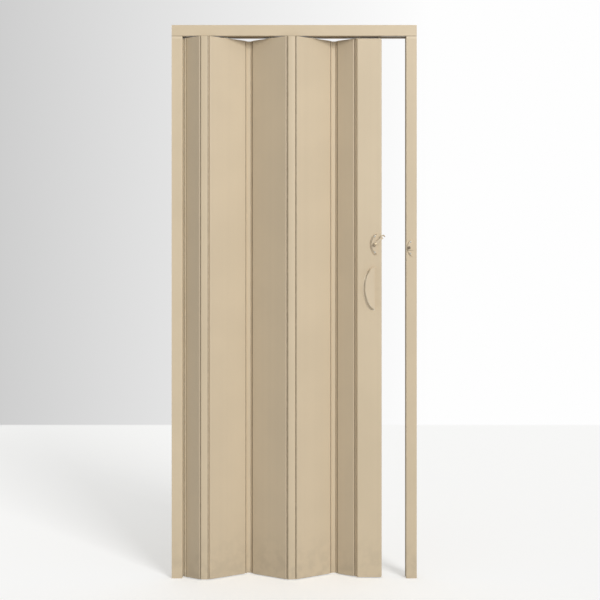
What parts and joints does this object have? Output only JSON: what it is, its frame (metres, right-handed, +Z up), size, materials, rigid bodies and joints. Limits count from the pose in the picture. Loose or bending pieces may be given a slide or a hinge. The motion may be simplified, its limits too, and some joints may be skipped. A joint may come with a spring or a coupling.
{
  "type": "accordion door",
  "caption": "Folding accordion door of hollow plastic slats on snap-in hinge strips, hung from rollers in a header rail between two jambs, with a lead post, pulls and a latch.",
  "frame": {"origin": "on the floor, in the middle of the doorway's width and of the wall's depth", "axes": "+X along the wall towards the latch jamb, +Y through the wall towards the rear, +Z up"},
  "size_m": [0.93, 0.0966, 2.1],
  "materials": {
    "pvc_frame": "extruded beige PVC, satin",
    "pvc_hidden": "extruded beige PVC, plain",
    "pvc_slat": "extruded beige PVC, satin with fine draw lines",
    "pvc_hinge": "softer beige PVC, satin",
    "moulded": "moulded beige plastic, semi-gloss",
    "seal": "soft beige-brown seal",
    "nylon": "natural nylon",
    "hanger": "zinc-plated steel",
    "steel": "zinc-plated steel"
  },
  "bodies": {
    "frame": {"header_rail": "pvc_hidden", "header_fascia_front": "pvc_frame", "header_fascia_rear": "pvc_frame", "left_jamb_channel": "pvc_hidden", "left_jamb_cover": "pvc_frame", "right_jamb_channel": "pvc_hidden", "right_jamb_cover": "pvc_frame", "jamb_hinge_strip": "pvc_hinge", "jamb_seal": "seal", "keeper": "moulded", "keeper_screws": "steel"},
    "slat_1": {"slat_1": "pvc_slat"},
    "hinge_strip_1": {"hinge_strip_1": "pvc_hinge"},
    "slat_2": {"slat_2": "pvc_slat", "slat_hanger_2": "hanger"},
    "hinge_strip_2": {"hinge_strip_2": "pvc_hinge"},
    "slat_3": {"slat_3": "pvc_slat", "slat_hanger_3": "hanger"},
    "hinge_strip_3": {"hinge_strip_3": "pvc_hinge"},
    "slat_4": {"slat_4": "pvc_slat", "slat_hanger_4": "hanger"},
    "hinge_strip_4": {"hinge_strip_4": "pvc_hinge"},
    "slat_5": {"slat_5": "pvc_slat"},
    "lead_post": {"lead_post": "pvc_slat", "lead_top_cap": "moulded", "lead_bottom_cap": "moulded", "lead_hinge_strip": "pvc_hinge", "lead_seal": "seal", "lead_hanger_left": "hanger", "lead_hanger_right": "hanger", "carriage_lead_left": "nylon", "carriage_lead_right": "nylon", "front_pull": "moulded", "rear_pull": "moulded", "pull_bolts": "steel", "latch_base": "moulded", "latch_pivot": "steel", "latch_screws": "steel"},
    "carriage_2": {"carriage_2": "nylon"},
    "carriage_3": {"carriage_3": "nylon"},
    "carriage_4": {"carriage_4": "nylon"},
    "latch_lever": {"latch_lever": "moulded"},
    "rollers_2": {"rollers_2": "nylon", "axle_2": "steel"},
    "rollers_3": {"rollers_3": "nylon", "axle_3": "steel"},
    "rollers_4": {"rollers_4": "nylon", "axle_4": "steel"},
    "rollers_lead_left": {"rollers_lead_left": "nylon", "axle_lead_left": "steel"},
    "rollers_lead_right": {"rollers_lead_right": "nylon", "axle_lead_right": "steel"}
  },
  "joints": [
    {"name": "fold", "type": "hinge", "parent": "frame", "child": "slat_1", "pos_m": [-0.4193, 0, 0], "axis": [0, 0, -1], "range_deg": [-22.4, 53.1]},
    {"name": "fold_1_left", "type": "hinge", "parent": "slat_1", "child": "hinge_strip_1", "pos_m": [-0.34962, -0.04337, 0], "axis": [0, 0, 1], "range_deg": [-22.4, 53.1]},
    {"name": "fold_1_right", "type": "hinge", "parent": "hinge_strip_1", "child": "slat_2", "pos_m": [-0.32562, -0.04337, 0], "axis": [0, 0, 1], "range_deg": [-22.4, 53.1]},
    {"name": "fold_2_left", "type": "hinge", "parent": "slat_2", "child": "hinge_strip_2", "pos_m": [-0.18626, 0.04337, 0], "axis": [0, 0, 1], "range_deg": [-53.1, 22.4]},
    {"name": "fold_2_right", "type": "hinge", "parent": "hinge_strip_2", "child": "slat_3", "pos_m": [-0.16226, 0.04337, 0], "axis": [0, 0, 1], "range_deg": [-53.1, 22.4]},
    {"name": "fold_3_left", "type": "hinge", "parent": "slat_3", "child": "hinge_strip_3", "pos_m": [-0.0229, -0.04337, 0], "axis": [0, 0, 1], "range_deg": [-22.4, 53.1]},
    {"name": "fold_3_right", "type": "hinge", "parent": "hinge_strip_3", "child": "slat_4", "pos_m": [0.0011, -0.04337, 0], "axis": [0, 0, 1], "range_deg": [-22.4, 53.1]},
    {"name": "fold_4_left", "type": "hinge", "parent": "slat_4", "child": "hinge_strip_4", "pos_m": [0.14046, 0.04337, 0], "axis": [0, 0, 1], "range_deg": [-53.1, 22.4]},
    {"name": "fold_4_right", "type": "hinge", "parent": "hinge_strip_4", "child": "slat_5", "pos_m": [0.16446, 0.04337, 0], "axis": [0, 0, 1], "range_deg": [-53.1, 22.4]},
    {"name": "lead_fold", "type": "hinge", "parent": "slat_5", "child": "lead_post", "pos_m": [0.23414, 0, 0], "axis": [0, 0, 1], "range_deg": [-22.4, 53.1]},
    {"name": "carriage_2_swivel", "type": "hinge", "parent": "slat_2", "child": "carriage_2", "pos_m": [-0.25594, 0, 0], "axis": [0, 0, 1], "range_deg": [-53.1, 22.4]},
    {"name": "carriage_3_swivel", "type": "hinge", "parent": "slat_3", "child": "carriage_3", "pos_m": [-0.09258, 0, 0], "axis": [0, 0, 1], "range_deg": [-22.4, 53.1]},
    {"name": "carriage_4_swivel", "type": "hinge", "parent": "slat_4", "child": "carriage_4", "pos_m": [0.07078, 0, 0], "axis": [0, 0, 1], "range_deg": [-53.1, 22.4]},
    {"name": "rollers_2_spin", "type": "hinge", "parent": "carriage_2", "child": "rollers_2", "pos_m": [-0.25594, 0, 2.0693], "axis": [0, 1, 0], "continuous": true},
    {"name": "rollers_3_spin", "type": "hinge", "parent": "carriage_3", "child": "rollers_3", "pos_m": [-0.09258, 0, 2.0693], "axis": [0, 1, 0], "continuous": true},
    {"name": "rollers_4_spin", "type": "hinge", "parent": "carriage_4", "child": "rollers_4", "pos_m": [0.07078, 0, 2.0693], "axis": [0, 1, 0], "continuous": true},
    {"name": "rollers_lead_left_spin", "type": "hinge", "parent": "lead_post", "child": "rollers_lead_left", "pos_m": [0.24884, 0, 2.0693], "axis": [0, 1, 0], "continuous": true},
    {"name": "rollers_lead_right_spin", "type": "hinge", "parent": "lead_post", "child": "rollers_lead_right", "pos_m": [0.32284, 0, 2.0693], "axis": [0, 1, 0], "continuous": true},
    {"name": "latch_lever_turn", "type": "hinge", "parent": "lead_post", "child": "latch_lever", "pos_m": [0.30784, -0.032, 1.268], "axis": [0, 1, 0], "range_deg": [-36, 64]}
  ],
  "couplings": [
    {"joint": "fold_1_left", "follows": "fold", "ratio": 1},
    {"joint": "fold_1_right", "follows": "fold", "ratio": 1},
    {"joint": "fold_2_left", "follows": "fold", "ratio": -1},
    {"joint": "fold_2_right", "follows": "fold", "ratio": -1},
    {"joint": "fold_3_left", "follows": "fold", "ratio": 1},
    {"joint": "fold_3_right", "follows": "fold", "ratio": 1},
    {"joint": "fold_4_left", "follows": "fold", "ratio": -1},
    {"joint": "fold_4_right", "follows": "fold", "ratio": -1},
    {"joint": "lead_fold", "follows": "fold", "ratio": 1},
    {"joint": "carriage_2_swivel", "follows": "fold", "ratio": -1},
    {"joint": "carriage_3_swivel", "follows": "fold", "ratio": 1},
    {"joint": "carriage_4_swivel", "follows": "fold", "ratio": -1}
  ]
}
